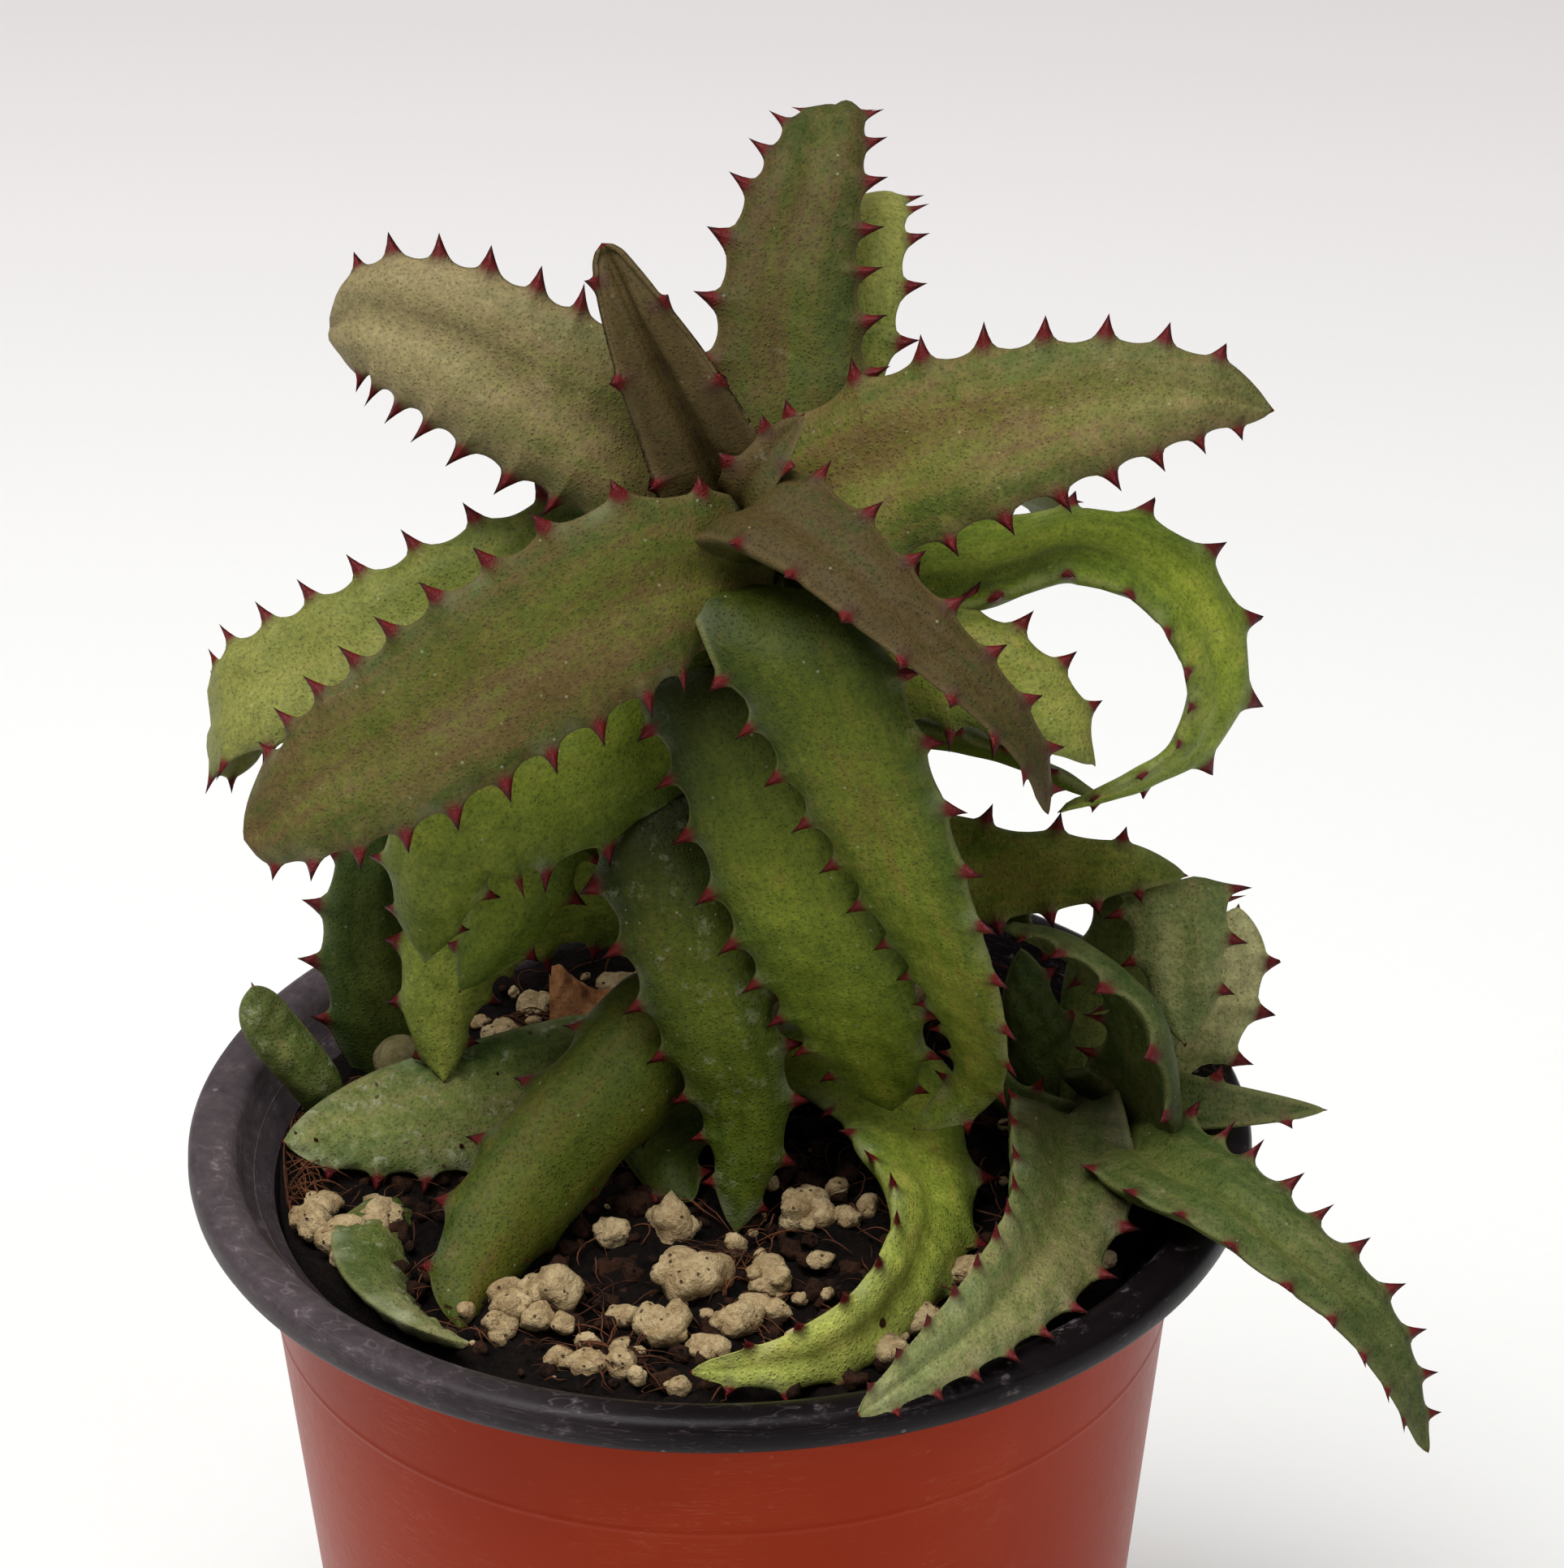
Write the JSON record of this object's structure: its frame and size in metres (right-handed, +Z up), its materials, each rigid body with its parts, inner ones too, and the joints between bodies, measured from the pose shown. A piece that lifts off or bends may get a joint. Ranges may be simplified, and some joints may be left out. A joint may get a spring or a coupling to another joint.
{
  "type": "potted aloe castilloniae",
  "caption": "Potted aloe castilloniae: recurved toothed leaves on a leaning stem with young offsets, in a round plastic nursery pot filled with soil and pumice.",
  "frame": {"origin": "centre of the pot's foot, on the surface that it stands on", "axes": "+Z up; -Y is the side that the tall stem leans towards, and +X is the side of the longest trailing leaf"},
  "size_m": [0.1163, 0.103, 0.1789],
  "materials": {
    "pot_plastic": "satin terracotta plastic with a dark lip and inside",
    "soil": "damp dark coir and peat with pale pumice grains",
    "stem": "rough brown-green stem",
    "leaf_upper": "satin olive-brown skin with fine raised dots and dark red teeth",
    "leaf_lower": "satin green skin with fine raised dots and dark red teeth",
    "leaf_offset": "satin grey-green skin with raised dots and dark red teeth",
    "dry_leaf": "papery orange-brown"
  },
  "bodies": {
    "root": {"pot": "pot_plastic", "soil": "soil", "stem_main": "stem", "stem_offset_right": "stem", "stem_offset_left": "stem", "leaf_spear": "leaf_upper", "leaf_bud": "leaf_upper", "leaf_top": "leaf_upper", "leaf_front": "leaf_upper", "leaf_lower_left": "leaf_upper", "leaf_right": "leaf_upper", "leaf_left": "leaf_upper", "leaf_top_back": "leaf_lower", "leaf_down": "leaf_lower", "leaf_ring": "leaf_lower", "leaf_down_inner": "leaf_lower", "leaf_left_back": "leaf_lower", "leaf_right_low": "leaf_lower", "leaf_right_under": "leaf_lower", "leaf_down_long": "leaf_lower", "leaf_curl_front": "leaf_lower", "leaf_curl_behind": "leaf_lower", "leaf_curl_low": "leaf_lower", "leaf_low_tube": "leaf_lower", "leaf_right_far": "leaf_lower", "leaf_hook": "leaf_lower", "leaf_dark_low": "leaf_lower", "leaf_back_right": "leaf_lower", "leaf_back_left": "leaf_lower", "leaf_back_middle": "leaf_lower", "leaf_back_low": "leaf_lower", "leaf_back_foot": "leaf_lower", "leaf_r_groove": "leaf_offset", "leaf_r_broad": "leaf_offset", "leaf_r_fold": "leaf_offset", "leaf_r_long": "leaf_offset", "leaf_r_spike": "leaf_offset", "leaf_r_far": "leaf_offset", "leaf_r_bumpy": "leaf_offset", "leaf_r_inner": "leaf_offset", "leaf_r_back": "leaf_offset", "leaf_l_upright": "leaf_offset", "leaf_l_flat": "leaf_offset", "leaf_l_finger": "leaf_offset", "leaf_l_rim": "leaf_offset", "leaf_withered": "dry_leaf"}
  },
  "joints": []
}
